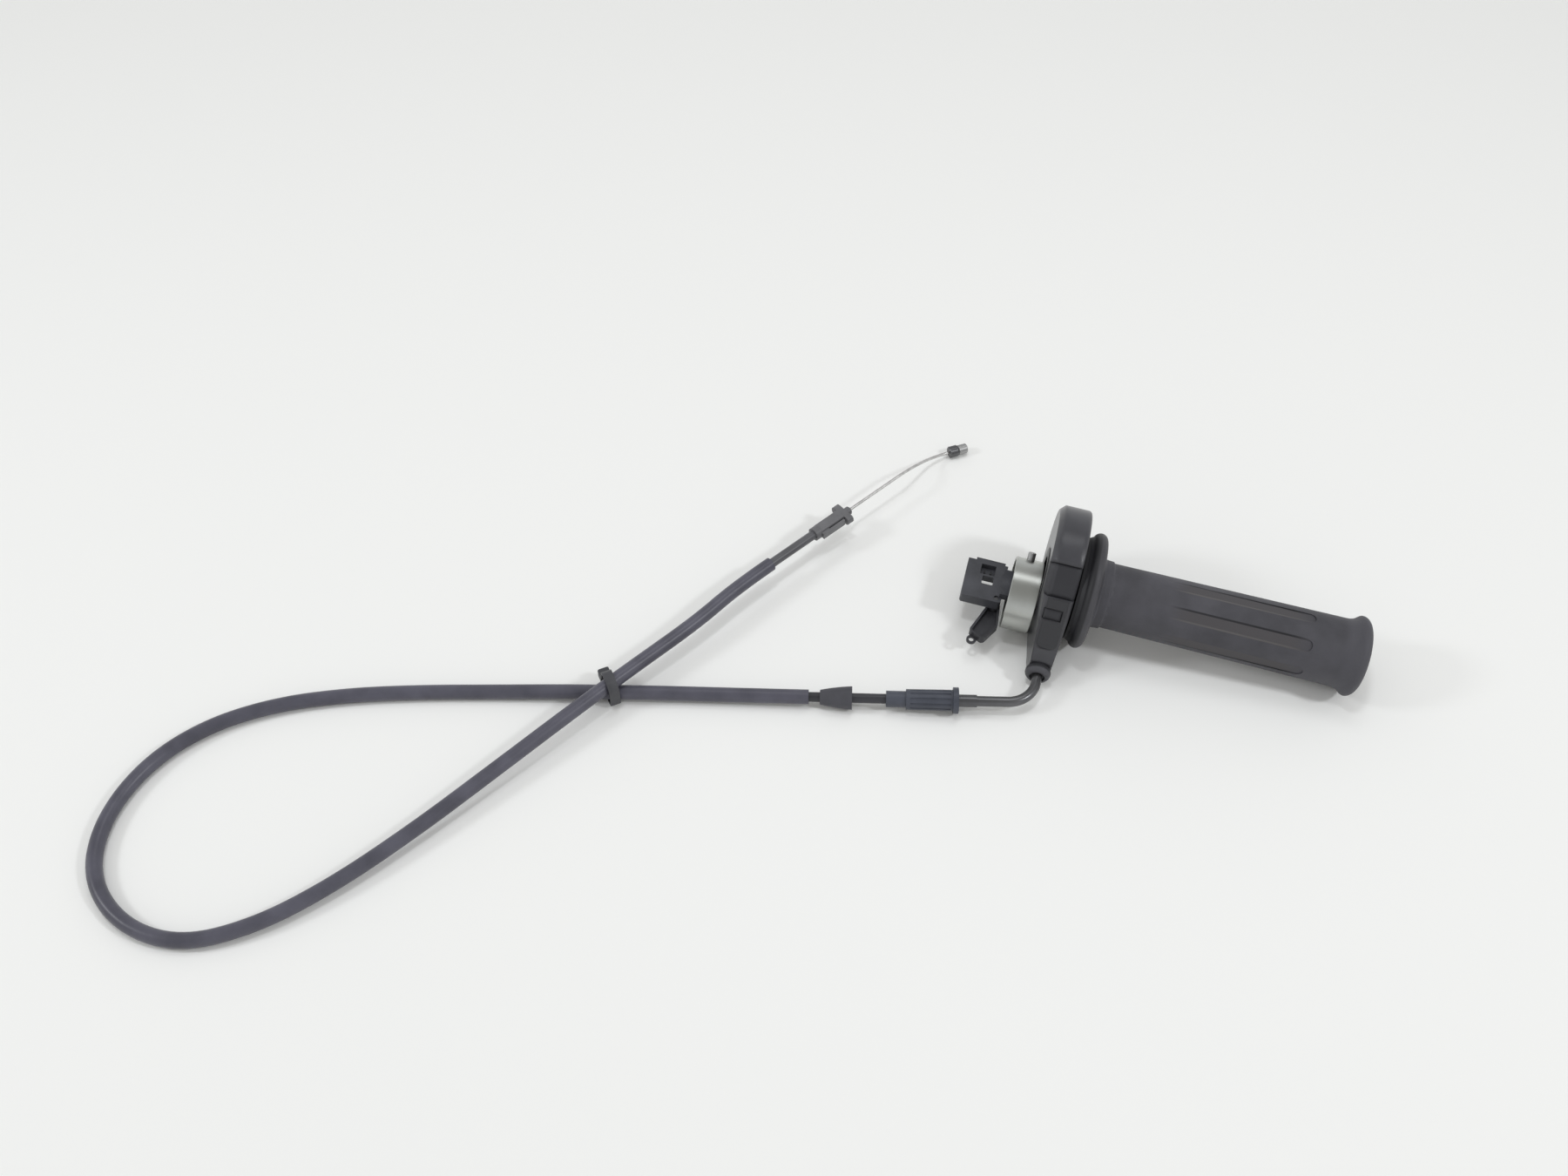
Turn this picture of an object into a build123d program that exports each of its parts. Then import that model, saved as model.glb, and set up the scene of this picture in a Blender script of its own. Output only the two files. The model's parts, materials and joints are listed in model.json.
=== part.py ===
"""Throttle twist grip with its housing, clamp ring, connector carrier and cable.

Millimetres, +Z up. The assembly lies on a table: the grip's collar and its end
rim touch it, so the grip axis dips a few degrees. The origin is on that axis in
the middle of the collar. +X runs along the grip towards its outer end, +Y to
the back. "Station" is a distance along the tilted grip axis; "back" and "rise"
are measured across it.
"""

from build123d import *
from math import asin, cos, degrees, hypot, pi, radians, sin, tan
import os

# ---------------------------------------------------------------- driving sizes
running_gap = 0.08           # radial play of a turning or sliding fit
seat_gap = 0.04              # play between parts that stay together
seam_gap = 0.15              # open line between two moulded shells

# grip
bar_radius = 11.1            # handlebar that the grip goes on
collar_radius = 27.5
collar_width = 6.4
rim_radius = 18.9
grip_reach = 125.0           # collar middle to the widest part of the end rim
rim_width = 7.6
grip_radius_inner = 15.3     # rubber by the collar
grip_radius_outer = 16.2     # rubber by the rim
rubber_lip = 2.6             # rubber past the end of the tube
tube_wall = 1.6
heater_wall = 0.4
heater_start = 9.0
heater_length = 104.0
tube_flange_radius = 24.3    # flange of the tube behind the collar
tube_flange_width = 1.4
groove_count = 7
groove_length = 66.0
groove_width = 5.5
groove_depth = 0.7
groove_station = 70.0        # middle of the grooves
groove_angle = 131.0         # first groove, turned from straight back

# housing, seen along the grip axis: a big circle drawn out to a cable neck
housing_radius = 29.5
housing_back = 6.6
housing_rise = 3.0
housing_left = -20.0         # inboard face
housing_right = -5.2         # outboard face
crown_depth = 2.4            # sloping rim of the inboard face
housing_wall = 2.2
side_wall = 2.4
edge_round = 1.5
neck_reach = 36.0            # grip axis to the end of the neck
neck_height = 10.8
neck_left = 4.6              # sides of the neck's end, either side of its middle
neck_right = 5.4
neck_taper_left = 14.0       # in front of the axis, where the sides start to close
neck_taper_right = 22.5
neck_end_wall = 5.0
upper_seam_angle = 125.4
lower_seam_angle = 157.0
back_seam_angle = -35.0
band_recess = 0.8
panel_width = 9.6
panel_reach = 26.0           # down the front face from the lower seam
panel_height = 0.5
panel_corner = 3.2
latch_station = -13.0
latch_width = 8.6
latch_height = 5.6
latch_drop = 8.4             # lower seam to the middle of the latch
latch_depth = 2.0
latch_gap = 0.25
latch_recess = 0.35
bush_radius = 15.4
bush_lip = 0.4
screw_radius = 1.6
screw_head_radius = 2.9
screw_head_height = 2.2
screw_length = 14.0
screw_below_seam = 7.0
boss_radius = 4.2
screw_inset = 6.0            # outside of the big circle to the screw
boss_height = 8.5            # above the back seam

# pulley and pull wire
wire_inset = 9.0             # outside of the big circle to the wire on the pulley
pulley_rim = 1.3             # pulley past the wire's middle line
pulley_width = 7.2
pulley_station = -12.0
tube_tail = 1.3              # tube past the pulley
wire_radius = 0.75
pulley_nipple_radius = 2.4
pulley_nipple_inset = 1.5    # nipple centre inside the pitch circle
throttle_travel = 75.0       # degrees from closed to open
nipple_rest_angle = 290.0    # turned from straight back
washer_radius = 18.0
washer_width = 0.6

# cable at the grip end
boot_length = 4.8
boot_base_radius = 5.2
boot_radius = 5.9
boot_mouth_radius = 4.4
elbow_radius = 2.4
elbow_inside = 6.0           # elbow tube inside the neck
elbow_reach = 55.2           # grip axis to the corner of the elbow
elbow_bend = 13.8
cable_heading = 192.0        # plan angle of the cable after the elbow
cable_droop = 1.4            # degrees down to the table
ferrule_start = 25.2         # from the elbow corner along the cable
ferrule_length = 8.2
ferrule_radius = 2.9
adjuster_start = 33.6
adjuster_flange_width = 2.5
adjuster_flange_radius = 6.1
adjuster_body_length = 21.5
adjuster_radius = 4.9
adjuster_tip_radius = 4.75
adjuster_rib_count = 12
adjuster_rib_groove = 0.5
adjuster_step_length = 9.1
adjuster_step_radius = 3.8
adjuster_socket = 8.0        # depth of the elbow tube in the adjuster
conduit_socket = 6.0         # depth of the conduit in the adjuster
conduit_radius = 2.3
conduit_length = 35.6        # bare conduit between the adjuster and the sleeve
dust_boot_start = 15.6       # adjuster end to the open end of the boot
dust_boot_length = 14.8
dust_boot_mouth = 5.4
dust_boot_bulge = 4.7        # radius half way
dust_boot_end = 3.4
dust_boot_wall = 0.9
dust_boot_depth = 9.5

# sleeve and its far end
sleeve_radius = 3.45
table_gap = 0.05
crossing_gap = 0.2
crossing = (-202.3, -96.6)   # middle of the tie, seen from above
lower_branch = 13.5          # plan angles of the two branches there
upper_branch = 57.5
hump_half_length = 15.0
tie_heading = 38.0           # plan angle of the strap's width
tie_width = 4.8
tie_thickness = 1.1
tie_gap = 0.1
tie_side_gap = 0.15
tie_corner = 3.0
tie_head_length = 5.0        # out from the strap's left side
tie_head_width = 5.4
tie_head_height = 6.0
tie_head_drop = 5.0          # middle of the upper branch down to the head's middle
tail_start = (-148.8, -11.4)
tail_heading = 56.2          # plan angle of the far end
tail_height = 13.6           # above the table
tail_run = 22.0              # last straight run of the sleeve
tail_conduit_length = 28.0
conduit_seat = 4.0           # conduit inside the end fitting
fitting_length = 18.0
fitting_collar_radius = 3.4
fitting_collar_length = 3.0
fitting_width = 5.6
fitting_corner = 1.0
flange_width = 12.4
flange_height = 4.6
flange_corner = 2.0
flange_thickness = 3.4
nose_radius = 2.2
nose_length = 3.0
snap_arm_length = 9.6
snap_arm_thickness = 1.2
snap_arm_space = 0.6
snap_arm_width = 3.4
snap_arm_root = 4.6
wire_in_fitting = 12.0
wire_bend_distance = 93.0    # sleeve end to the bend of the bare wire
wire_tip_start = (-79.8, 93.2)   # open end of the barrel, seen from above
wire_tip_heading = 33.8
wire_end_length = 9.0        # straight wire on the table before the barrel
barrel_radius = 3.0
barrel_length = 4.8
barrel_seat = 3.0            # wire inside the barrel
nipple_radius = 2.6
nipple_length = 5.2

# clamp ring, slipped down onto the table
ring_radius = 17.45
ring_wall = 1.45
ring_left = -33.8
ring_right = -20.5
ring_forward = 2.7
ring_table_gap = 0.03
ring_screw_angle = 50.0
ring_screw_radius = 1.85
ring_screw_above = 3.5
ring_screw_below = 1.6

# connector carrier under the bar
carrier_gap = 0.3            # between the bar and the carrier
carrier_left = -55.3
carrier_right = -36.0
carrier_front = -10.7
carrier_back = 13.4
carrier_depth = 5.7
carrier_plate = 1.8
carrier_wall = 1.4
notch_width = 3.8            # notch in the carrier's back left corner
notch_depth = 1.4
tongue_half_width = 7.6
tongue_thickness = 3.0
slot_station = -44.2
slot_width = 5.4
slot_back = 0.8
slot_length = 4.8
socket_station = -45.0
socket_back = 7.2
socket_width = 7.0
socket_length = 6.0
socket_depth = 3.0
socket_wall = 1.1
terminal_thickness = 0.7
terminal_width = 1.8
terminal_height = 1.1
terminal_spacing = 3.0
terminal_count = 2
arm_pin_station = -38.4
arm_pin_back = -8.2
arm_pin_radius = 1.3
arm_pin_recess = 0.8         # below the top of the plate
arm_pin_head = 2.2
arm_pin_head_height = 0.7
arm_boss_radius = 2.4
arm_gap = 0.3
arm_root_radius = 2.8
arm_body_start = 7.0
arm_body_end = 19.8
arm_near_side = 0.0          # sides of the arm, measured from the pin's line
arm_far_side = 8.8
arm_corner = 2.0
arm_depth = 3.6
arm_wall = 1.1
arm_angle = 241.5            # plan angle of the arm
eyelet_reach = 21.6
eyelet_side = 3.8
eyelet_radius = 2.3
eyelet_hole = 1.25

# ------------------------------------------------------------- derived places
grip_tilt = degrees(asin((collar_radius - rim_radius) / grip_reach))
table = -collar_radius
tube_bore = bar_radius + running_gap
tube_radius = tube_bore + tube_wall
heater_radius = tube_radius + seat_gap + heater_wall
rubber_bore = heater_radius + seat_gap
rim_end = grip_reach + rim_width / 2
tube_end = rim_end - rubber_lip
ring_middle = (ring_left + ring_right) / 2
boss_reach = housing_radius - screw_inset
pulley_pitch_radius = housing_radius - wire_inset
pulley_radius = pulley_pitch_radius + pulley_rim

grip_direction = Vector(1, 0, 0).rotate(Axis.Y, grip_tilt)
grip_axis = Axis((0, 0, 0), grip_direction)
across_grip = Plane(origin=(0, 0, 0), x_dir=(0, 1, 0), z_dir=grip_direction)
along_grip = Plane(origin=(0, 0, 0), x_dir=grip_direction, z_dir=(0, -1, 0))


def across(station):
    """Plane square to the grip axis: x is back, y is rise."""
    return across_grip.offset(station)


def deck(rise):
    """Plane parallel to the grip axis: x is the station, y is back."""
    origin = across_grip.from_local_coords((0, rise, 0))
    return Plane(origin=origin, x_dir=grip_direction, z_dir=across_grip.y_dir)


def round_bar(plane, radius, length, mode=Mode.ADD):
    """Cylinder that starts on a plane and runs along its normal."""
    with BuildSketch(plane) as section:
        Circle(radius)
    extrude(section.sketch, amount=length, mode=mode)


def save(builder, label):
    """Label a finished piece and write its STEP file."""
    builder.part.label = label
    export_step(builder.part, f"parts/{label}.step")


os.makedirs("parts", exist_ok=True)

# ------------------------------------------------------------------ grip pieces
with BuildPart() as throttle_tube:
    tube_start = pulley_station - pulley_width / 2 - tube_tail
    with BuildSketch(across(tube_start)):
        Circle(tube_radius)
        Circle(tube_bore, mode=Mode.SUBTRACT)
    extrude(amount=tube_end - tube_start)

with BuildPart() as tube_flange:
    with BuildSketch(across(-collar_width / 2 - tube_flange_width)):
        Circle(tube_flange_radius)
        Circle(tube_radius + seat_gap, mode=Mode.SUBTRACT)
    extrude(amount=tube_flange_width)

with BuildPart() as heating_element:
    with BuildSketch(across(heater_start)):
        Circle(heater_radius)
        Circle(tube_radius + seat_gap, mode=Mode.SUBTRACT)
    extrude(amount=heater_length)


def groove_plane(angle):
    """Plane that touches the rubber at the middle of one groove."""
    back, rise = cos(radians(angle)), sin(radians(angle))
    outward = across_grip.x_dir * back + across_grip.y_dir * rise
    middle = grip_direction * groove_station + outward * grip_radius_outer
    return Plane(origin=middle, x_dir=grip_direction, z_dir=outward)


collar_half = collar_width / 2
collar_seam = collar_half + 0.7
neck_radius = grip_radius_inner + 3.0

with BuildPart() as grip_collar:
    with BuildSketch(along_grip):
        with BuildLine():
            Line((-collar_half, rubber_bore), (-collar_half, collar_radius - collar_half))
            RadiusArc(
                (-collar_half, collar_radius - collar_half),
                (collar_half, collar_radius - collar_half),
                collar_half,
            )
            Line((collar_half, collar_radius - collar_half), (collar_seam, neck_radius))
            Line((collar_seam, neck_radius), (collar_seam, rubber_bore))
            Line((collar_seam, rubber_bore), (-collar_half, rubber_bore))
        make_face()
    revolve(axis=grip_axis)

with BuildPart() as rubber_grip:
    grip_start = collar_seam + seat_gap
    neck_station = collar_half + 6.2
    rim_start = grip_reach - 7.0
    with BuildSketch(along_grip):
        with BuildLine():
            Line((grip_start, rubber_bore), (grip_start, neck_radius))
            Spline(
                (grip_start, neck_radius),
                (neck_station, grip_radius_inner),
                tangents=[(0.1, -1), (1, 0)],
            )
            Line((neck_station, grip_radius_inner), (rim_start, grip_radius_outer))
            Spline(
                (rim_start, grip_radius_outer),
                (grip_reach, rim_radius),
                (rim_end, rim_radius - rim_width / 2),
                tangents=[(1, 0), (0.15, -1)],
            )
            Line((rim_end, rim_radius - rim_width / 2), (rim_end, tube_bore))
            Line((rim_end, tube_bore), (tube_end + seat_gap, tube_bore))
            Line((tube_end + seat_gap, tube_bore), (tube_end + seat_gap, rubber_bore))
            Line((tube_end + seat_gap, rubber_bore), (grip_start, rubber_bore))
        make_face()
    revolve(axis=grip_axis)
    for turn in range(groove_count):
        with BuildSketch(groove_plane(groove_angle + turn * 360 / groove_count)):
            SlotOverall(groove_length, groove_width)
        extrude(amount=-groove_depth, mode=Mode.SUBTRACT)

# --------------------------------------------------------------- cable pulley
nipple_circle = pulley_pitch_radius - pulley_nipple_inset
pulley_start = pulley_station - pulley_width / 2
pulley_bore = tube_radius + seat_gap
groove_floor = pulley_pitch_radius - wire_radius - seat_gap


def around(radius, angle):
    """Back and rise of a point on a circle about the grip axis."""
    return radius * cos(radians(angle)), radius * sin(radians(angle))


with BuildPart() as cable_pulley:
    with BuildSketch(across(pulley_start)):
        Circle(pulley_radius)
        Circle(pulley_bore, mode=Mode.SUBTRACT)
    extrude(amount=pulley_width)
    half_groove = wire_radius + seat_gap
    with BuildSketch(along_grip):
        with BuildLine():
            Polyline(
                (pulley_station - half_groove, groove_floor),
                (pulley_station - half_groove, pulley_radius + 1),
                (pulley_station + half_groove, pulley_radius + 1),
                (pulley_station + half_groove, groove_floor),
                close=True,
            )
        make_face()
    revolve(axis=grip_axis, mode=Mode.SUBTRACT)
    with BuildSketch(across(pulley_start)):
        with Locations(around(nipple_circle, nipple_rest_angle)):
            Circle(pulley_nipple_radius + seat_gap)
    extrude(amount=pulley_width, mode=Mode.SUBTRACT)

with BuildPart() as pulley_nipple:
    with BuildSketch(across(pulley_start)):
        with Locations(around(nipple_circle, nipple_rest_angle)):
            Circle(pulley_nipple_radius)
    extrude(amount=pulley_width)



def spoke(angle):
    """Plane through the grip axis: x is the station, y points out at an angle."""
    back, rise = cos(radians(angle)), sin(radians(angle))
    outward = across_grip.x_dir * back + across_grip.y_dir * rise
    return Plane(origin=(0, 0, 0), x_dir=grip_direction, z_dir=grip_direction.cross(outward))


with BuildPart() as pulley_wire:
    # the length of wire that the pulley carries when the throttle is open
    wire_end = nipple_rest_angle - degrees(pulley_nipple_radius / pulley_pitch_radius) - 0.5
    wire_start = wire_end - throttle_travel - 14
    with BuildSketch(spoke(wire_start)):
        with Locations((pulley_station, pulley_pitch_radius)):
            Circle(wire_radius)
    revolve(axis=grip_axis, revolution_arc=wire_end - wire_start)

with BuildPart() as thrust_washer:
    washer_start = pulley_start + pulley_width + running_gap
    with BuildSketch(across(washer_start)):
        Circle(washer_radius)
        Circle(tube_radius + running_gap, mode=Mode.SUBTRACT)
    extrude(amount=washer_width)

# -------------------------------------------------------------------- housing
housing_middle = (housing_left + housing_right) / 2
housing_span = housing_right - housing_left
far = 3 * housing_radius
neck_corner_back, neck_corner_rise = -neck_reach, neck_height / 2 - pulley_pitch_radius

# the flat front face is the tangent from the big circle to the neck
to_corner = Vector(neck_corner_back - housing_back, neck_corner_rise - housing_rise)
corner_angle = 180 + degrees(asin((housing_rise - neck_corner_rise) / to_corner.length))
front_angle = corner_angle - 90 + degrees(asin(housing_radius / to_corner.length))
front_length = (to_corner.length**2 - housing_radius**2) ** 0.5
lower_seam_drop = housing_radius * tan(radians(lower_seam_angle - front_angle))


def housing_point(angle, radius, station):
    """Point seen from the middle of the housing's big circle."""
    back, rise = around(radius, angle)
    return across(station).from_local_coords((housing_back + back, housing_rise + rise))


def front_face(station):
    """Plane on the flat front face: x is the station, y runs up the face."""
    outward = across_grip.x_dir * cos(radians(front_angle)) + across_grip.y_dir * sin(radians(front_angle))
    return Plane(
        origin=housing_point(front_angle, housing_radius, station),
        x_dir=grip_direction,
        z_dir=outward,
    )


def housing_outline(station, inset, reach):
    """Side view of the housing, or of the room in it."""
    with BuildSketch(across(station)) as outline:
        with Locations((housing_back, housing_rise)):
            Circle(housing_radius - inset)
        with Locations((1 - reach, -pulley_pitch_radius)):
            Rectangle(2, neck_height - 2 * inset)
        make_hull()
    return outline.sketch


def housing_plan(wall, reach):
    """View from above: the sides close in towards the cable neck."""
    with BuildSketch(deck(0)) as plan:
        with BuildLine():
            Polyline(
                (housing_left + wall, far),
                (housing_left + wall, -neck_taper_left),
                (pulley_station - neck_left + wall, -reach),
                (pulley_station + neck_right - wall, -reach),
                (housing_right - wall, -neck_taper_right),
                (housing_right - wall, far),
                close=True,
            )
        make_face()
    return plan.sketch


def housing_form(inset):
    """Outside of the housing, with a sloping inboard rim and a soft outboard edge."""
    with BuildPart() as form:
        extrude(housing_outline(housing_left, inset, neck_reach), amount=housing_span)
        inboard, outboard = form.faces().sort_by(grip_axis)[0], form.faces().sort_by(grip_axis)[-1]
        chamfer(inboard.edges(), crown_depth)
        fillet(outboard.edges(), edge_round)
        extrude(housing_plan(0, neck_reach + 1), amount=far, both=True, mode=Mode.INTERSECT)
    return form.part


def housing_wedge(start, end):
    """Wedge from the middle of the big circle, one seam gap short of its neighbours."""
    reach = 3 * housing_radius
    turns = [start, (2 * start + end) / 3, (start + 2 * end) / 3, end]
    corners = [(housing_back, housing_rise)]
    for turn in turns:
        back, rise = around(reach, turn)
        corners.append((housing_back + back, housing_rise + rise))
    with BuildSketch(across(housing_left - 1)) as wedge:
        with BuildLine():
            Polyline(*corners, close=True)
        make_face()
        offset(amount=-seam_gap / 2)
    return wedge.sketch


def housing_openings():
    """Cut the room inside, the bores for tube and bush, and the cable hole."""
    with BuildPart(mode=Mode.PRIVATE) as room:
        extrude(
            housing_outline(housing_left + side_wall, housing_wall, neck_reach - neck_end_wall),
            amount=housing_span - 2 * side_wall,
        )
        extrude(
            housing_plan(side_wall, neck_reach - neck_end_wall),
            amount=far,
            both=True,
            mode=Mode.INTERSECT,
        )
    add(room.part, mode=Mode.SUBTRACT)
    round_bar(across(housing_left - 1), bush_radius + seat_gap, side_wall + 2, Mode.SUBTRACT)
    round_bar(across(housing_right + 1), tube_radius + running_gap, -side_wall - 2, Mode.SUBTRACT)
    round_bar(cable_entry, elbow_radius + seat_gap, -neck_end_wall - 1, Mode.SUBTRACT)


cable_entry = Plane(
    origin=across(pulley_station).from_local_coords((-neck_reach - 0.5, -pulley_pitch_radius)),
    x_dir=(1, 0, 0),
    z_dir=(0, -1, 0),
)
seam_normal = around(1, back_seam_angle + 90)
screw_plane = Plane(
    origin=housing_point(back_seam_angle, boss_reach, housing_middle),
    x_dir=grip_direction,
    z_dir=across_grip.x_dir * seam_normal[0] + across_grip.y_dir * seam_normal[1],
)


def screw_boss():
    """Boss for the housing screw, trimmed to the outside of the housing."""
    with BuildPart(mode=Mode.PRIVATE) as boss:
        round_bar(screw_plane.offset(-housing_radius), boss_radius, housing_radius + boss_height)
        add(housing_form(0), mode=Mode.INTERSECT)
    add(boss.part)
    round_bar(
        screw_plane.offset(-screw_below_seam - 1), screw_radius + seat_gap, screw_length + 1.5, Mode.SUBTRACT
    )
    round_bar(
        screw_plane.offset(-screw_below_seam),
        screw_head_radius + 2 * seat_gap,
        -housing_radius,
        Mode.SUBTRACT,
    )


with BuildPart() as housing_upper_shell:
    add(housing_form(0))
    housing_openings()
    screw_boss()
    extrude(housing_wedge(back_seam_angle, upper_seam_angle), amount=housing_span + 2, mode=Mode.INTERSECT)

with BuildPart() as housing_lower_shell:
    add(housing_form(0))
    housing_openings()
    screw_boss()
    extrude(
        housing_wedge(lower_seam_angle, back_seam_angle + 360), amount=housing_span + 2, mode=Mode.INTERSECT
    )
    with BuildSketch(front_face(pulley_station).offset(panel_height)) as panel:
        with Locations((0, -lower_seam_drop - panel_reach / 2)):
            Rectangle(panel_width, panel_reach - seam_gap)
        fillet(panel.vertices().group_by(Axis.Y)[0], panel_corner)
    extrude(amount=-panel_height - housing_wall / 2)
    with BuildSketch(front_face(latch_station).offset(panel_height)):
        with Locations((0, -lower_seam_drop - latch_drop)):
            Rectangle(latch_width, latch_height)
    extrude(amount=-panel_height - housing_wall, mode=Mode.SUBTRACT)

with BuildPart() as latch_clip:
    with BuildSketch(front_face(latch_station).offset(panel_height - latch_recess)):
        with Locations((0, -lower_seam_drop - latch_drop)):
            Rectangle(latch_width - 2 * latch_gap, latch_height - 2 * latch_gap)
    extrude(amount=-latch_depth)

with BuildPart() as joint_band:
    add(housing_form(band_recess))
    housing_openings()
    extrude(
        housing_wedge(upper_seam_angle, lower_seam_angle), amount=housing_span + 2, mode=Mode.INTERSECT
    )

with BuildPart() as bar_bush:
    with BuildSketch(across(housing_left - bush_lip)):
        Circle(bush_radius)
        Circle(tube_bore, mode=Mode.SUBTRACT)
    extrude(amount=bush_lip + side_wall)

with BuildPart() as housing_screw:
    round_bar(screw_plane.offset(-screw_below_seam), screw_radius, screw_length)
    round_bar(screw_plane.offset(-screw_below_seam), screw_head_radius, -screw_head_height)
    with BuildSketch(screw_plane.offset(-screw_below_seam - screw_head_height)):
        RegularPolygon(screw_head_radius * 0.55, 6)
    extrude(amount=screw_head_height * 0.6, mode=Mode.SUBTRACT)

# ------------------------------------------------------- cable at the grip end
cable_line = Vector(1, 0, 0).rotate(Axis.Y, cable_droop).rotate(Axis.Z, cable_heading)
elbow_corner = across(pulley_station).from_local_coords((-elbow_reach, -pulley_pitch_radius))


def cable_place(distance):
    """Plane across the cable, some way after the corner of the elbow."""
    origin = elbow_corner + cable_line * distance
    return Plane(origin=origin, x_dir=Vector(0, 0, 1).cross(cable_line), z_dir=cable_line)


def beside_cable(distance):
    """Plane along the cable: x runs with it, y is the distance out from it."""
    origin = elbow_corner + cable_line * distance
    return Plane(origin=origin, x_dir=cable_line, z_dir=Vector(0, 0, 1).cross(cable_line))


cable_axis = Axis(elbow_corner, cable_line)
leg_direction = Vector(0, -1, 0)
leg_middle = across(pulley_station).from_local_coords((0, -pulley_pitch_radius))


def leg_place(reach):
    """Plane across the elbow's first leg, some way in front of the grip axis."""
    return Plane(origin=leg_middle + leg_direction * reach, x_dir=(1, 0, 0), z_dir=leg_direction)


with BuildPart() as elbow_tube:
    start = leg_middle + leg_direction * (neck_reach - elbow_inside)
    end = elbow_corner + cable_line * (adjuster_start + adjuster_socket)
    with BuildLine() as elbow_path:
        FilletPolyline(start, elbow_corner, end, radius=elbow_bend)
    with BuildSketch(leg_place(neck_reach - elbow_inside)):
        Circle(elbow_radius)
    sweep(path=elbow_path.line)
    round_bar(cable_place(ferrule_start), ferrule_radius, ferrule_length)
    turn = 270 - cable_heading
    bend_start = elbow_reach - elbow_bend * tan(radians(turn / 2))
    wire_hole = bend_start - neck_reach + elbow_inside - 1
    round_bar(leg_place(neck_reach - elbow_inside), wire_radius + seat_gap, wire_hole, Mode.SUBTRACT)

with BuildPart() as lead_wire:
    # it ends just short of the turning flanges of the pulley
    clear_radius = pulley_radius + 4 * running_gap
    lead_end = (clear_radius**2 - (pulley_pitch_radius - wire_radius) ** 2) ** 0.5
    wire_stop = neck_reach - elbow_inside + wire_hole - 1
    round_bar(leg_place(lead_end), wire_radius, wire_stop - lead_end)

with BuildPart() as elbow_boot:
    boot_bore = elbow_radius + seat_gap
    with BuildSketch(Plane(origin=leg_middle, x_dir=leg_direction, z_dir=(1, 0, 0))):
        with BuildLine():
            boot_start, boot_end = neck_reach, neck_reach + boot_length
            Line((boot_start, boot_bore), (boot_start, boot_base_radius))
            ThreePointArc(
                (boot_start, boot_base_radius),
                (boot_start + boot_length * 0.5, boot_radius),
                (boot_end, boot_mouth_radius),
            )
            Line((boot_end, boot_mouth_radius), (boot_end, boot_mouth_radius - 0.8))
            Line((boot_end, boot_mouth_radius - 0.8), (boot_end - 1.5, boot_mouth_radius - 0.8))
            Line((boot_end - 1.5, boot_mouth_radius - 0.8), (boot_end - 1.5, boot_bore))
            Line((boot_end - 1.5, boot_bore), (boot_start, boot_bore))
        make_face()
    revolve(axis=Axis(leg_middle, leg_direction))

adjuster_body = adjuster_start + adjuster_flange_width
adjuster_step = adjuster_body + adjuster_body_length
adjuster_end = adjuster_step + adjuster_step_length
sleeve_start = adjuster_end + conduit_length

with BuildPart() as cable_adjuster:
    tube_room = elbow_radius + running_gap
    conduit_room = conduit_radius + running_gap
    with BuildSketch(beside_cable(0)):
        with BuildLine():
            Polyline(
                (adjuster_start, tube_room),
                (adjuster_start, adjuster_flange_radius),
                (adjuster_body, adjuster_flange_radius),
                (adjuster_body, adjuster_radius),
                (adjuster_step, adjuster_tip_radius),
                (adjuster_step, adjuster_step_radius),
                (adjuster_end, adjuster_step_radius),
                (adjuster_end, conduit_room),
                (adjuster_end - conduit_socket, conduit_room),
                (adjuster_end - conduit_socket, wire_radius * 2),
                (adjuster_start + adjuster_socket + 1, wire_radius * 2),
                (adjuster_start + adjuster_socket + 1, tube_room),
                close=True,
            )
        make_face()
    revolve(axis=cable_axis)
    for rib in range(adjuster_rib_count):
        with BuildSketch(cable_place(adjuster_body + 1)):
            with PolarLocations(adjuster_radius, 1, start_angle=rib * 360 / adjuster_rib_count):
                Circle(adjuster_rib_groove)
        extrude(amount=adjuster_body_length - 3, mode=Mode.SUBTRACT)

with BuildPart() as near_conduit:
    conduit_start = adjuster_end - conduit_socket + 1
    round_bar(cable_place(conduit_start), conduit_radius, sleeve_start - conduit_start)

with BuildPart() as dust_boot:
    boot_mouth = adjuster_end + dust_boot_start
    boot_tail = boot_mouth + dust_boot_length
    boot_floor = boot_mouth + dust_boot_depth
    floor_radius = dust_boot_end - dust_boot_wall + (dust_boot_mouth - dust_boot_end) * (
        1 - dust_boot_depth / dust_boot_length
    )
    with BuildSketch(beside_cable(0)):
        with BuildLine():
            ThreePointArc(
                (boot_mouth, dust_boot_mouth),
                (boot_mouth + dust_boot_length / 2, dust_boot_bulge),
                (boot_tail, dust_boot_end),
            )
            Polyline(
                (boot_tail, dust_boot_end),
                (boot_tail, conduit_room),
                (boot_floor, conduit_room),
                (boot_floor, floor_radius),
                (boot_mouth, dust_boot_mouth - dust_boot_wall),
                (boot_mouth, dust_boot_mouth),
            )
        make_face()
    revolve(axis=cable_axis)

# ------------------------------------------------------------------ the sleeve
lying = table + sleeve_radius + table_gap
lower_height = lying + tie_thickness + tie_gap
upper_height = lower_height + 2 * sleeve_radius + crossing_gap
tail_level = table + tail_height
tail_direction = Vector(1, 0, 0).rotate(Axis.Z, tail_heading)
tail_point = Vector(tail_start[0], tail_start[1], tail_level)
hump = Vector(1, 0, 0).rotate(Axis.Z, upper_branch) * hump_half_length
over_tie = Vector(crossing[0], crossing[1], upper_height)
cable_start = elbow_corner + cable_line * sleeve_start

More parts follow.
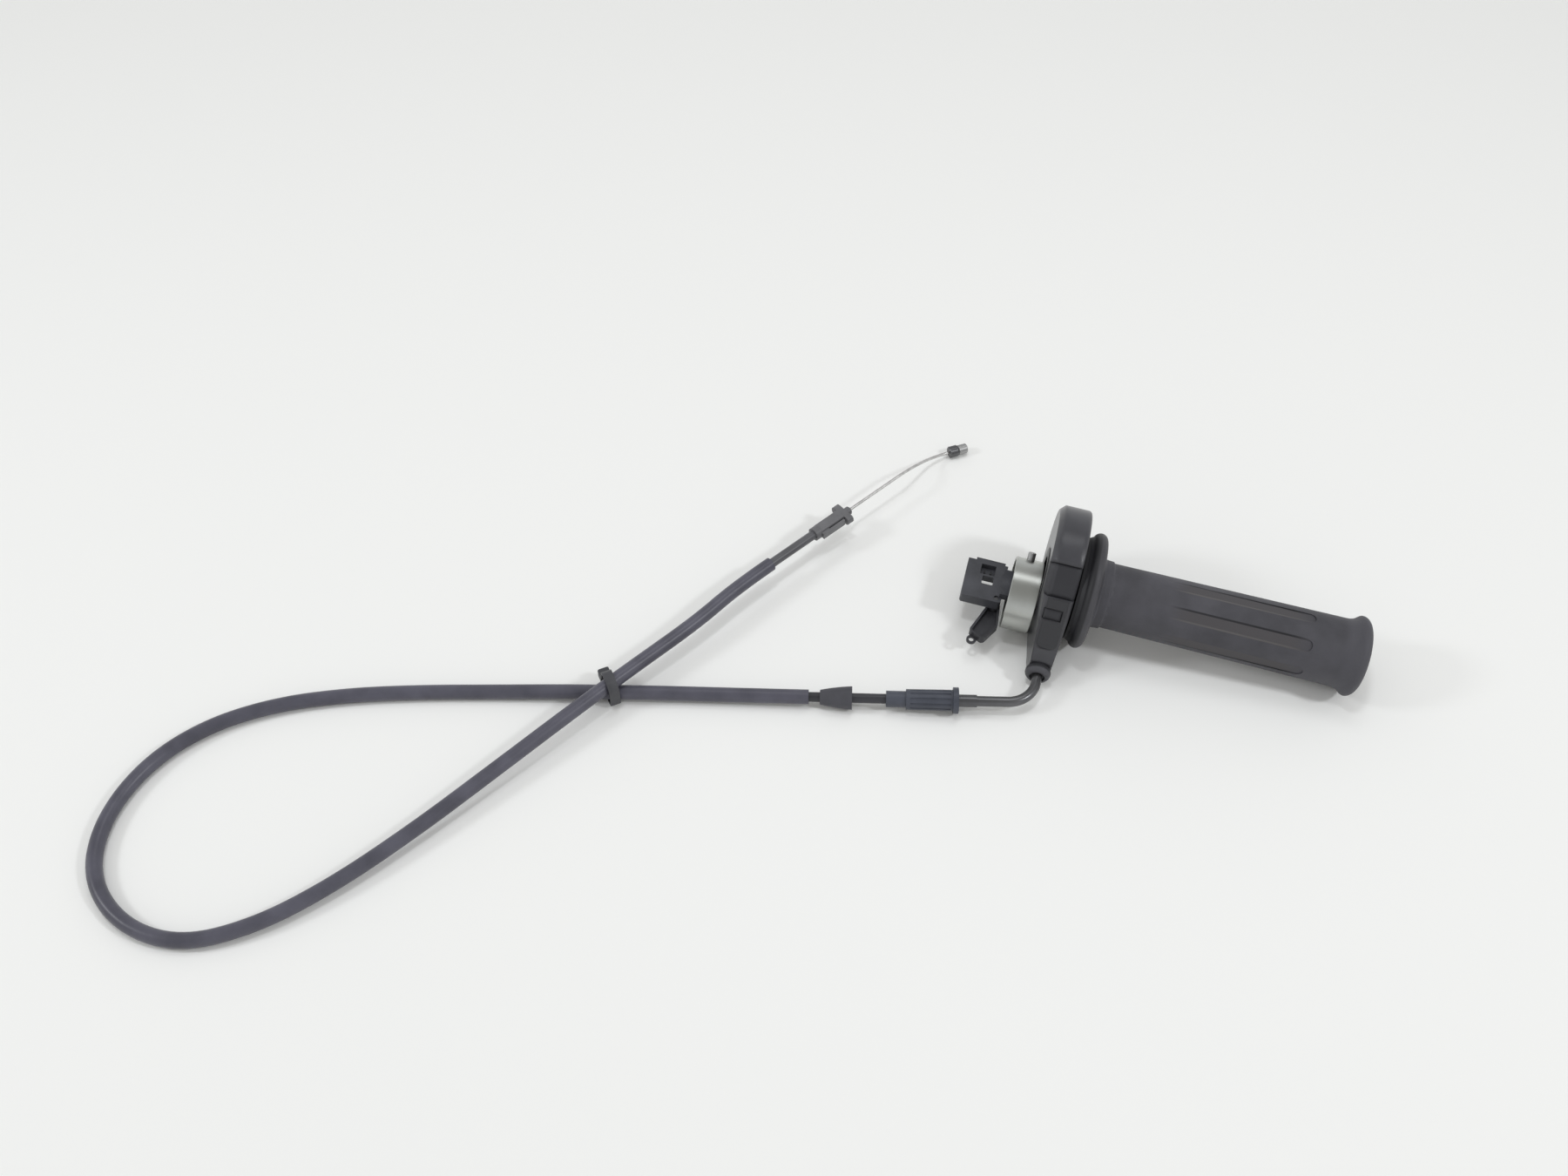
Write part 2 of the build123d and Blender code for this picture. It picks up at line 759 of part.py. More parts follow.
sleeve_route = [
    cable_start,
    cable_start + cable_line * 32,
    Vector(-185.0, -92.3, lower_height),
    Vector(-219.5, -100.6, lower_height),
    Vector(-255.0, -109.3, lying),
    Vector(-290.0, -118.6, lying),
    Vector(-322.0, -128.9, lying),
    Vector(-351.0, -142.0, lying),
    Vector(-375.5, -160.5, lying),
    Vector(-391.5, -185.0, lying),
    Vector(-396.0, -214.5, lying),
    Vector(-387.0, -241.0, lying),
    Vector(-364.0, -257.5, lying),
    Vector(-335.5, -260.0, lying),
    Vector(-308.6, -244.8, lying + 0.8),
    Vector(-284.6, -219.8, lying + 1.9),
    Vector(-261.1, -187.3, lying + 3.3),
    Vector(-240.1, -154.9, lying + 5.1),
    over_tie - hump,
    over_tie + hump,
    Vector(-173.6, -53.2, upper_height + 1.0),
    tail_point - tail_direction * tail_run,
    tail_point,
]


def bend_radii(points):
    """Largest even bends: 0.45 of the shorter run over the tangent of half the turn."""
    radii = []
    for before, here, after in zip(points, points[1:], points[2:]):
        turned = (here - before).get_angle(after - here)
        shorter = min((here - before).length, (after - here).length)
        radii.append(0.45 * shorter / tan(radians(turned / 2)))
    return radii


sleeve_bends = bend_radii(sleeve_route)

with BuildPart() as cable_sleeve:
    with BuildLine() as sleeve_path:
        FilletPolyline(*sleeve_route, radius=sleeve_bends)
    with BuildSketch(cable_place(sleeve_start)):
        Circle(sleeve_radius)
    sweep(path=sleeve_path.line)

print("sleeve bends", [round(bend, 1) for bend in sleeve_bends])
sleeve_length = sleeve_path.wire().length
print("sleeve length", round(sleeve_length, 1))
straight_volume = pi * sleeve_radius**2 * sleeve_length
print("sleeve volume over section times length", round(cable_sleeve.part.volume / straight_volume, 4))

# cable tie round both branches where they cross
tie_direction = Vector(1, 0, 0).rotate(Axis.Z, tie_heading)
tie_place = Plane(
    origin=(crossing[0], crossing[1], upper_height),
    x_dir=Vector(0, 0, 1).cross(tie_direction),
    z_dir=tie_direction,
)
tie_skew = radians(max(upper_branch - tie_heading, tie_heading - lower_branch))
tie_half = sleeve_radius / cos(tie_skew) + tie_width / 2 * tan(tie_skew) + tie_side_gap


def tie_outline(grown):
    """Strap seen along its own width."""
    height = upper_height - lower_height + 2 * (sleeve_radius + grown)
    with BuildSketch(tie_place) as outline:
        with Locations((0, (lower_height - upper_height) / 2)):
            RectangleRounded(2 * (tie_half + grown), height, tie_corner + grown)
    return outline.sketch


with BuildPart() as cable_tie:
    extrude(tie_outline(tie_gap + tie_thickness), amount=tie_width / 2, both=True)
    extrude(tie_outline(tie_gap), amount=tie_width / 2, both=True, mode=Mode.SUBTRACT)

head_start = tie_half + tie_gap + tie_thickness + seat_gap
head_place = Plane(
    origin=tie_place.from_local_coords((head_start, -tie_head_drop)),
    x_dir=tie_direction,
    z_dir=tie_place.x_dir,
)

with BuildPart() as tie_head:
    with BuildSketch(head_place):
        RectangleRounded(tie_head_width, tie_head_height, 0.8)
    extrude(amount=tie_head_length)
    chamfer(tie_head.faces().sort_by(Axis(head_place.origin, head_place.z_dir))[-1].edges(), 0.4)

# ------------------------------------------------------------ far end of cable


def tail_place(distance):
    """Plane across the far end: x points to its left, y up."""
    origin = tail_point + tail_direction * distance
    return Plane(origin=origin, x_dir=Vector(0, 0, 1).cross(tail_direction), z_dir=tail_direction)


fitting_start = tail_conduit_length
fitting_end = fitting_start + fitting_length
wire_room = wire_radius + running_gap

with BuildPart() as far_conduit:
    round_bar(tail_place(0), conduit_radius, tail_conduit_length + conduit_seat)
    wire_reserve = tail_conduit_length + conduit_seat - 1
    round_bar(tail_place(1), wire_room, wire_reserve, Mode.SUBTRACT)

with BuildPart() as end_fitting:
    body_start = fitting_start + fitting_collar_length
    arm_middle = fitting_width / 2 + snap_arm_space + snap_arm_thickness / 2
    arm_outside = arm_middle + snap_arm_thickness / 2
    round_bar(tail_place(fitting_start), fitting_collar_radius, fitting_collar_length)
    with BuildSketch(tail_place(body_start)):
        RectangleRounded(fitting_width, fitting_width, fitting_corner)
    extrude(amount=fitting_end - body_start)
    with BuildSketch(tail_place(body_start)):
        with Locations((-arm_outside / 2, 0)):
            Rectangle(arm_outside, snap_arm_width)
    extrude(amount=snap_arm_root)
    with BuildSketch(tail_place(body_start + snap_arm_root)):
        with Locations((-arm_middle, 0)):
            Rectangle(snap_arm_thickness, snap_arm_width)
    extrude(amount=snap_arm_length)
    round_bar(tail_place(fitting_start), conduit_radius + seat_gap, conduit_seat, Mode.SUBTRACT)
    round_bar(tail_place(fitting_start), wire_room, fitting_length, Mode.SUBTRACT)

with BuildPart() as fitting_flange:
    with BuildSketch(tail_place(fitting_end)):
        RectangleRounded(flange_width, flange_height, flange_corner)
    extrude(amount=flange_thickness)
    round_bar(tail_place(fitting_end + flange_thickness), nose_radius, nose_length)
    chamfer(fitting_flange.edges().filter_by(GeomType.CIRCLE).sort_by(Axis(tail_point, tail_direction))[-1], 0.5)
    round_bar(tail_place(fitting_end), wire_room, flange_thickness + nose_length, Mode.SUBTRACT)

wire_turn = tail_point + tail_direction * wire_bend_distance
end_direction = Vector(1, 0, 0).rotate(Axis.Z, wire_tip_heading)
wire_tip = Vector(wire_tip_start[0], wire_tip_start[1], table + barrel_radius + table_gap)


def tip_place(distance):
    """Plane across the bent end of the wire."""
    origin = wire_tip + end_direction * distance
    return Plane(origin=origin, x_dir=Vector(0, 0, 1).cross(end_direction), z_dir=end_direction)


wire_start_distance = fitting_end - wire_in_fitting
wire_route = [
    tail_point + tail_direction * wire_start_distance,
    wire_turn,
    wire_tip - end_direction * wire_end_length,
    wire_tip + end_direction * barrel_seat,
]

with BuildPart() as inner_wire:
    with BuildLine() as wire_path:
        FilletPolyline(*wire_route, radius=bend_radii(wire_route))
    with BuildSketch(tail_place(wire_start_distance)):
        Circle(wire_radius)
    sweep(path=wire_path.line)

with BuildPart() as nipple_barrel:
    round_bar(tip_place(0), barrel_radius, barrel_length)
    chamfer(nipple_barrel.edges().filter_by(GeomType.CIRCLE), 0.4)
    round_bar(tip_place(0), wire_radius + seat_gap, barrel_seat + seat_gap, Mode.SUBTRACT)

with BuildPart() as cable_nipple:
    round_bar(tip_place(barrel_length), nipple_radius, nipple_length)
    chamfer(cable_nipple.edges().filter_by(GeomType.CIRCLE), 0.5)

# ------------------------------------------------------------------ clamp ring
ring_tilt = radians(grip_tilt)
ring_rise = ring_radius + (table + ring_table_gap + ring_right * sin(ring_tilt)) / cos(ring_tilt)
ring_place = (-ring_forward, ring_rise)
print("clamp ring lift", round(hypot(*ring_place), 3), "direction", [round(v, 4) for v in ring_place])

with BuildPart() as clamp_ring:
    with BuildSketch(across(ring_left)):
        with Locations(ring_place):
            Circle(ring_radius)
            Circle(ring_radius - ring_wall, mode=Mode.SUBTRACT)
    extrude(amount=ring_right - ring_left)
    chamfer(clamp_ring.edges().filter_by(GeomType.CIRCLE), 0.25)
    screw_back, screw_rise = around(1, ring_screw_angle)
    ring_screw_direction = across_grip.x_dir * screw_back + across_grip.y_dir * screw_rise
    ring_origin = across(ring_middle).from_local_coords(ring_place)
    ring_screw_inner = ring_radius - ring_wall - ring_screw_below
    ring_screw_plane = Plane(
        origin=ring_origin + ring_screw_direction * ring_screw_inner,
        x_dir=grip_direction,
        z_dir=ring_screw_direction,
    )
    round_bar(ring_screw_plane, ring_screw_radius + seat_gap, ring_wall + 6, Mode.SUBTRACT)

with BuildPart() as clamp_screw:
    round_bar(ring_screw_plane, ring_screw_radius, ring_screw_below + ring_wall + ring_screw_above)
    chamfer(clamp_screw.edges().filter_by(GeomType.CIRCLE), 0.3)

# ----------------------------------------------------------- connector carrier
carrier_top = -bar_radius - carrier_gap
carrier_bottom = carrier_top - carrier_depth
plate_bottom = carrier_top - carrier_plate
carrier_length = carrier_right - carrier_left
carrier_width = carrier_back - carrier_front
carrier_middle = ((carrier_left + carrier_right) / 2, (carrier_front + carrier_back) / 2)

with BuildPart() as connector_carrier:
    with BuildSketch(deck(carrier_top)) as carrier_outline:
        with Locations(carrier_middle):
            RectangleRounded(carrier_length, carrier_width, 1.2)
        with Locations((carrier_left, carrier_back)):
            Rectangle(2 * notch_width, 2 * notch_depth, mode=Mode.SUBTRACT)
        with Locations((carrier_right, carrier_back)):
            Rectangle(2 * notch_depth, 2 * notch_depth, mode=Mode.SUBTRACT)
    extrude(amount=-carrier_depth)
    with BuildSketch(deck(plate_bottom)):
        offset(carrier_outline.sketch_local, amount=-carrier_wall, mode=Mode.ADD)
    extrude(amount=-carrier_depth, mode=Mode.SUBTRACT)
    with BuildSketch(deck(carrier_top)):
        with Locations((socket_station, socket_back)):
            Rectangle(socket_width + 2 * socket_wall, socket_length + 2 * socket_wall)
    extrude(amount=-socket_depth - socket_wall)
    with BuildSketch(deck(carrier_top)):
        with Locations((socket_station, socket_back)):
            Rectangle(socket_width, socket_length)
    extrude(amount=-socket_depth, mode=Mode.SUBTRACT)
    with BuildSketch(deck(carrier_top)):
        with Locations((slot_station, slot_back)):
            RectangleRounded(slot_width, slot_length, 0.6)
    extrude(amount=-carrier_depth, mode=Mode.SUBTRACT)
    with BuildSketch(deck(carrier_top)):
        with Locations((arm_pin_station, arm_pin_back)):
            Circle(arm_boss_radius)
    extrude(amount=-carrier_depth)
    with BuildSketch(across(carrier_right - carrier_wall)):
        Circle(-carrier_top + tongue_thickness)
        Circle(-carrier_top, mode=Mode.SUBTRACT)
        with Locations((0, carrier_top)):
            Rectangle(2 * tongue_half_width, -2 * carrier_top, mode=Mode.INTERSECT)
    extrude(amount=housing_left - bush_lip - carrier_right + carrier_wall)
    with BuildSketch(deck(carrier_top)):
        with Locations((arm_pin_station, arm_pin_back)):
            Circle(arm_pin_radius + seat_gap)
    extrude(amount=-carrier_depth, mode=Mode.SUBTRACT)

with BuildPart() as connector_terminals:
    first = socket_station - terminal_spacing * (terminal_count - 1) / 2
    for terminal in range(terminal_count):
        with BuildSketch(deck(carrier_top - socket_depth)):
            with Locations((first + terminal * terminal_spacing, socket_back)):
                Rectangle(terminal_thickness, terminal_width)
        extrude(amount=terminal_height)

arm_top = carrier_bottom - arm_gap
arm_heading = radians(arm_angle)
arm_plane = Plane(
    origin=deck(arm_top).from_local_coords((arm_pin_station, arm_pin_back)),
    x_dir=grip_direction * cos(arm_heading) + Vector(0, 1, 0) * sin(arm_heading),
    z_dir=across_grip.y_dir,
)
arm_floor = arm_plane.offset(arm_wall - arm_depth)


def arm_outline(inset):
    """Plan of the arm's channel, or of the room in it: the root circle drawn out to its body."""
    length, width = arm_body_end - arm_body_start, arm_far_side - arm_near_side
    with BuildSketch() as outline:
        Circle(arm_root_radius - inset)
        with Locations((arm_body_start + length / 2, arm_near_side + width / 2)):
            RectangleRounded(length - 2 * inset, width - 2 * inset, arm_corner - inset)
        make_hull()
    return outline.sketch


with BuildPart() as latch_arm:
    with BuildSketch(arm_plane):
        add(arm_outline(0))
    extrude(amount=-arm_depth)
    with BuildSketch(arm_plane):
        add(arm_outline(arm_wall))
    extrude(amount=arm_wall - arm_depth, mode=Mode.SUBTRACT)
    with BuildSketch(arm_floor):
        with Locations((eyelet_reach, eyelet_side)):
            Circle(eyelet_radius)
        with Locations((arm_body_end - arm_wall / 2, eyelet_side)):
            Rectangle(arm_wall, 2 * eyelet_radius - arm_wall)
        make_hull()
    extrude(amount=-arm_wall)
    round_bar(arm_plane, arm_boss_radius, -arm_depth)
    round_bar(arm_plane, arm_pin_radius + running_gap, -arm_depth, Mode.SUBTRACT)
    with BuildSketch(arm_floor):
        with Locations((eyelet_reach, eyelet_side)):
            Circle(eyelet_hole)
    extrude(amount=-arm_wall, mode=Mode.SUBTRACT)

with BuildPart() as arm_pin:
    pin_top = arm_plane.offset(arm_gap + carrier_depth - arm_pin_recess)
    pin_length = carrier_depth + arm_gap + arm_depth + running_gap - arm_pin_recess
    round_bar(pin_top, arm_pin_radius, -pin_length)
    round_bar(pin_top.offset(-pin_length), arm_pin_head, -arm_pin_head_height)

# ------------------------------------------------------------------------ save
save(rubber_grip, "rubber_grip")
save(grip_collar, "grip_collar")
save(heating_element, "heating_element")
save(throttle_tube, "throttle_tube")
save(tube_flange, "tube_flange")
save(thrust_washer, "thrust_washer")
save(cable_pulley, "cable_pulley")
save(pulley_nipple, "pulley_nipple")
save(pulley_wire, "pulley_wire")
save(housing_upper_shell, "housing_upper_shell")
save(housing_lower_shell, "housing_lower_shell")
save(joint_band, "joint_band")
save(latch_clip, "latch_clip")
save(bar_bush, "bar_bush")
save(housing_screw, "housing_screw")
save(elbow_boot, "elbow_boot")
save(elbow_tube, "elbow_tube")
save(lead_wire, "lead_wire")
save(cable_adjuster, "cable_adjuster")
save(near_conduit, "near_conduit")
save(dust_boot, "dust_boot")
save(cable_sleeve, "cable_sleeve")
save(cable_tie, "cable_tie")
save(tie_head, "tie_head")
save(far_conduit, "far_conduit")
save(end_fitting, "end_fitting")
save(fitting_flange, "fitting_flange")
save(inner_wire, "inner_wire")
save(nipple_barrel, "nipple_barrel")
save(cable_nipple, "cable_nipple")
save(clamp_ring, "clamp_ring")
save(clamp_screw, "clamp_screw")
save(connector_carrier, "connector_carrier")
save(connector_terminals, "connector_terminals")
save(latch_arm, "latch_arm")
save(arm_pin, "arm_pin")

print("pins and places")
print("  grip direction", [round(v, 5) for v in grip_direction])
print("  cable line", [round(v, 5) for v in cable_line])
print("  cable corner", [round(v, 4) for v in elbow_corner])
print("  tail point", [round(v, 4) for v in tail_point])
print("  wire tip", [round(v, 4) for v in wire_tip])
print("  arm pin", [round(v, 4) for v in arm_plane.origin], [round(v, 5) for v in arm_plane.z_dir])
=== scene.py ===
"""Throttle twist grip with its cable, dressed for the picture (Blender 4.5)."""

import json
import math

import bmesh
import bpy
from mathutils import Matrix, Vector


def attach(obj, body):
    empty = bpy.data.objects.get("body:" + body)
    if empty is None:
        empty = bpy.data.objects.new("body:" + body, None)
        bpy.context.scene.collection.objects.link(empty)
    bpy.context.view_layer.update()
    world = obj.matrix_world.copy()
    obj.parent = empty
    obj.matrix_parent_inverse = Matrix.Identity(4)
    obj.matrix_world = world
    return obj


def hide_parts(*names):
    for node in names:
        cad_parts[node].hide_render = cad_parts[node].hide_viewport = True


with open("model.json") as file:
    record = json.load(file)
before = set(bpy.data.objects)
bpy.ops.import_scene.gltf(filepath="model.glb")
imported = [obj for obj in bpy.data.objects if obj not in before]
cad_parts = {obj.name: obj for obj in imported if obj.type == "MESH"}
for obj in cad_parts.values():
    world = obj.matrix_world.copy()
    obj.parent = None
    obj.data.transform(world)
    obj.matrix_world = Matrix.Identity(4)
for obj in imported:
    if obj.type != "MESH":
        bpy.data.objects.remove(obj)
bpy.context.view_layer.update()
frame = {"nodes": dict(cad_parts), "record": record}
nodes = frame["nodes"]
scene = bpy.context.scene
MM = 0.001

# ------------------------------------------------------------- places, in mm
COLLAR_RADIUS = 27.5
RIM_RADIUS = 18.9
GRIP_REACH = 125.0
TABLE = -COLLAR_RADIUS
TILT = math.asin((COLLAR_RADIUS - RIM_RADIUS) / GRIP_REACH)
GRIP = Vector((math.cos(TILT), 0, -math.sin(TILT)))
UP = Vector((math.sin(TILT), 0, math.cos(TILT)))
BACK = Vector((0, 1, 0))


def grip_point(station, back, rise):
    """Point by its distance along the grip axis, to the back and up."""
    return GRIP * station + BACK * back + UP * rise


def heading(azimuth, elevation=0.0):
    """Unit vector by two angles in degrees."""
    a, e = math.radians(azimuth), math.radians(elevation)
    return Vector((math.cos(a) * math.cos(e), math.sin(a) * math.cos(e), math.sin(e)))


# ------------------------------------------------------------------- camera
LOOK_DOWN = 0.911
LOOK_LEFT = 0.256
camera_data = bpy.data.cameras.new("camera")
camera_data.sensor_fit = "HORIZONTAL"
camera_data.sensor_width = 36.0
camera_data.lens = 34.0
camera_data.clip_start = 0.01
camera = bpy.data.objects.new("camera", camera_data)
camera.location = Vector((-28.5, -445.7, 547.9)) * MM
camera.rotation_euler = (math.pi / 2 - LOOK_DOWN, 0, LOOK_LEFT)
scene.collection.objects.link(camera)
scene.camera = camera
scene.view_settings.view_transform = "Standard"

# -------------------------------------------------------------------- world
# Plain light for the object, and a pale backdrop for the eye, gloss and glass.
world = bpy.data.worlds.new("studio")
scene.world = world
world.use_nodes = True
tree = world.node_tree
tree.nodes.clear()
sky = tree.nodes.new("ShaderNodeBackground")
sky.inputs["Color"].default_value = (1.0, 0.99, 0.965, 1)
sky.inputs["Strength"].default_value = 0.52

height = tree.nodes.new("ShaderNodeSeparateXYZ")
direction = tree.nodes.new("ShaderNodeTexCoord").outputs["Generated"]
tree.links.new(direction, height.inputs[0])
shade = tree.nodes.new("ShaderNodeValToRGB")
low, high = shade.color_ramp.elements
low.position, low.color = 0.2, (0.86, 0.875, 0.89, 1)
high.position, high.color = 0.8, (0.46, 0.46, 0.45, 1)
tree.links.new(height.outputs["Z"], shade.inputs[0])
backdrop = tree.nodes.new("ShaderNodeBackground")
backdrop.inputs["Strength"].default_value = 1.0
tree.links.new(shade.outputs[0], backdrop.inputs["Color"])

rays = tree.nodes.new("ShaderNodeLightPath")
seen = rays.outputs["Is Camera Ray"]
for other in ("Is Glossy Ray", "Is Transmission Ray"):
    either = tree.nodes.new("ShaderNodeMath")
    either.operation = "MAXIMUM"
    tree.links.new(seen, either.inputs[0])
    tree.links.new(rays.outputs[other], either.inputs[1])
    seen = either.outputs[0]
choice = tree.nodes.new("ShaderNodeMixShader")
tree.links.new(seen, choice.inputs[0])
tree.links.new(sky.outputs[0], choice.inputs[1])
tree.links.new(backdrop.outputs[0], choice.inputs[2])
tree.links.new(choice.outputs[0], tree.nodes.new("ShaderNodeOutputWorld").inputs[0])

# -------------------------------------------------------------------- lamps
AIM = Vector((-0.08, -0.08, 0))
COOL = (0.96, 0.98, 1.0)


def soft_light(name, azimuth, elevation, distance, size, power, shine=True):
    """Round lamp that points at the object; without shine it shows in no gloss."""
    data = bpy.data.lights.new(name, "AREA")
    data.shape = "DISK"
    data.size = size
    data.energy = power
    data.color = COOL
    lamp = bpy.data.objects.new(name, data)
    lamp.location = AIM + heading(azimuth, elevation) * distance
    lamp.rotation_euler = (AIM - lamp.location).to_track_quat("-Z", "Y").to_euler()
    lamp.visible_glossy = shine
    scene.collection.objects.link(lamp)


soft_light("left", 197.5, 34, 1.7, 0.32, 4.6)
soft_light("right", -5, 45, 1.8, 0.22, 6.6)
soft_light("over", 180, 82, 1.6, 0.2, 3.2, shine=False)
soft_light("back", 90, 70, 1.6, 0.6, 2.6)


# ---------------------------------------------------------------- materials
class Shader:
    """Principled material with small helpers for its node tree."""

    # The colour sockets of a Mix node, which share their names with others.
    MIX_FACTOR, MIX_BELOW, MIX_ABOVE, MIX_RESULT = 0, 6, 7, 2

    def __init__(self, name, color, rough, metal=0.0, specular=0.35):
        self.material = bpy.data.materials.new(name)
        self.material.use_nodes = True
        self.tree = self.material.node_tree
        self.bsdf = self.tree.nodes["Principled BSDF"]
        self.bsdf.inputs["Base Color"].default_value = (*color, 1)
        self.bsdf.inputs["Roughness"].default_value = rough
        self.bsdf.inputs["Metallic"].default_value = metal
        self.bsdf.inputs["Specular IOR Level"].default_value = specular
        self.color = color
        self.paint = None
        self.rounding = None
        self.where = self.node("TexCoord").outputs["Object"]

    def node(self, kind):
        return self.tree.nodes.new("ShaderNode" + kind)

    def link(self, source, socket):
        self.tree.links.new(source, socket)

    def noise(self, scale, detail):
        node = self.node("TexNoise")
        node.inputs["Scale"].default_value = scale
        node.inputs["Detail"].default_value = detail
        self.link(self.where, node.inputs["Vector"])
        return node.outputs["Fac"]

    def mottle(self, scale, dark, light):
        """Uneven colour from dark to light times the base colour."""
        node = self.node("ValToRGB")
        stops = ((0.35, dark), (0.65, light))
        for element, (at, gain) in zip(node.color_ramp.elements, stops):
            element.position = at
            element.color = (*(min(1.0, c * gain) for c in self.color), 1)
        self.link(self.noise(scale, 6.0), node.inputs["Fac"])
        self.paint = node.outputs["Color"]
        self.link(self.paint, self.bsdf.inputs["Base Color"])
        return self

    def along(self, direction, start=(0, 0, 0)):
        """Distance in mm from start along a direction, a solid coordinate."""
        shift = self.node("VectorMath")
        shift.operation = "SUBTRACT"
        shift.inputs[1].default_value = start
        self.link(self.where, shift.inputs[0])
        node = self.node("VectorMath")
        node.operation = "DOT_PRODUCT"
        node.inputs[1].default_value = Vector(direction) / MM
        self.link(shift.outputs[0], node.inputs[0])
        return node.outputs["Value"]

    def past(self, value, edge, soft=0.3, down=False):
        """Mask that rises from 0 to 1 (or falls) where a value passes an edge."""
        node = self.node("MapRange")
        node.interpolation_type = "SMOOTHSTEP"
        node.inputs["From Min"].default_value = edge - soft
        node.inputs["From Max"].default_value = edge + soft
        node.inputs["To Min"].default_value = 1.0 if down else 0.0
        node.inputs["To Max"].default_value = 0.0 if down else 1.0
        self.link(value, node.inputs["Value"])
        return node.outputs["Result"]

    def compute(self, operation, *values):
        node = self.node("Math")
        node.operation = operation
        for value, socket in zip(values, node.inputs):
            if isinstance(value, (int, float)):
                socket.default_value = value
            else:
                self.link(value, socket)
        return node.outputs[0]

    def between(self, value, low, high, soft):
        """Mask that is 1 between two edges."""
        rising = self.past(value, low, soft)
        return self.compute("MULTIPLY", rising, self.past(value, high, soft, down=True))

    def tint(self, mask, color):
        """Other colour where the mask is 1."""
        node = self.node("Mix")
        node.data_type = "RGBA"
        if self.paint:
            self.link(self.paint, node.inputs[self.MIX_BELOW])
        else:
            node.inputs[self.MIX_BELOW].default_value = (*self.color, 1)
        node.inputs[self.MIX_ABOVE].default_value = (*color, 1)
        self.link(mask, node.inputs[self.MIX_FACTOR])
        self.paint = node.outputs[self.MIX_RESULT]
        self.link(self.paint, self.bsdf.inputs["Base Color"])
        return self

    def rounded(self, radius):
        """Edges that shade as if rounded, in mm; comes before grain."""
        node = self.node("Bevel")
        node.samples = 6
        node.inputs["Radius"].default_value = radius * MM
        self.rounding = node.outputs[0]
        return self

    def grain(self, scale, strength):
        """Fine bump."""
        bump = self.node("Bump")
        bump.inputs["Strength"].default_value = strength
        bump.inputs["Distance"].default_value = 0.0002
        if self.rounding:
            self.link(self.rounding, bump.inputs["Normal"])
        self.link(self.noise(scale, 3.0), bump.inputs["Height"])
        self.link(bump.outputs[0], self.bsdf.inputs["Normal"])
        return self


GROOVES = 7
FIRST_GROOVE = 131.0
GRIP_RADIUS = 15.8
GROOVE_START, GROOVE_END, GROOVE_FADE = 42.0, 98.0, 6.0


def grooved(shader, floor_color, shade_color, painted_highlight_color):
    """Long grooves with a paler floor that run out at their ends.

    The upper ones have painted shade on their upper edge and a painted highlight on
    thEir lower one, the others painted shade on their lower edge.
    """
    half_turn = math.pi / GROOVES
    angle = shader.compute("ARCTAN2", shader.along(UP), shader.along(BACK))
    angle = shader.compute("SUBTRACT", angle, math.radians(FIRST_GROOVE))
    angle = shader.compute("WRAP", angle, half_turn, -half_turn)
    across = shader.compute("MULTIPLY", angle, GRIP_RADIUS)
    length = shader.between(shader.along(GRIP), GROOVE_START, GROOVE_END, GROOVE_FADE)
    lower_ones = shader.past(shader.along(UP), 6.0, 1.0, down=True)
    upper_ones = shader.compute("SUBTRACT", 1.0, lower_ones)
    # Paler floor; painted shade on the upper edge and a painted highlight on the lower
    # edge of the upper grooves; painted shade on the lower edge of the lower ones.
    for low, high, soft, color, which in (
        (-2.6, 2.6, 0.4, floor_color, 1.0),
        (-3.2, -2.3, 0.25, shade_color, upper_ones),
        (2.3, 3.0, 0.3, painted_highlight_color, upper_ones),
        (2.5, 3.5, 0.3, shade_color, lower_ones),
    ):
        line = shader.compute("MULTIPLY", shader.between(across, low, high, soft), length)
        shader.tint(shader.compute("MULTIPLY", line, which), color)
    return shader


rubber = Shader("rubber", (0.063, 0.062, 0.072), 0.58).mottle(60, 0.85, 1.2)
# Groove colours: paler floor, painted shade, painted highlight.
grooved(rubber, (0.069, 0.065, 0.070), (0.015, 0.015, 0.018), (0.105, 0.100, 0.100))
end_rim = rubber.past(rubber.along(GRIP), 117.5, 2.5)
rubber.tint(end_rim, (0.074, 0.073, 0.085)).grain(2200, 0.25)

collar = Shader("collar rubber", (0.055, 0.054, 0.061), 0.5).mottle(60, 0.85, 1.2)
# Painted shade darkens the collar's inboard face.
shaded_inner_face = collar.past(collar.along(GRIP), 1.4, 0.5, down=True)
collar.tint(shaded_inner_face, (0.020, 0.020, 0.023)).grain(2200, 0.25)

plastic = Shader("housing plastic", (0.051, 0.051, 0.059), 0.28, specular=0.5)
plastic.rounded(3.0).mottle(80, 0.9, 1.12).grain(1800, 0.12)

# Painted shade makes the flat front of the lower shell darker; it lies this far from the
# housing's axis.
HOUSING_CENTRE = grip_point(0, 6.6, 3.0)
FRONT = BACK * -0.888 + UP * 0.460
FRONT_REACH = 29.75
lower = Shader("lower shell plastic", (0.047, 0.047, 0.054), 0.28, specular=0.5)
lower.rounded(1.5).mottle(80, 0.9, 1.12)
shaded_front_panel = lower.past(lower.along(FRONT, HOUSING_CENTRE * MM), FRONT_REACH, 0.1)
lower.tint(shaded_front_panel, (0.023, 0.023, 0.027)).grain(1800, 0.12)

band = Shader("band plastic", (0.031, 0.031, 0.036), 0.45).rounded(3.0)
# Painted highlight: a lighter strip along the band's inboard edge, as the rounded shell
# edge would catch the light there.
highlit_inboard_strip = band.past(band.along(GRIP), -16.2, 0.25, down=True)
band.tint(highlit_inboard_strip, (0.044, 0.044, 0.050)).grain(1800, 0.2)

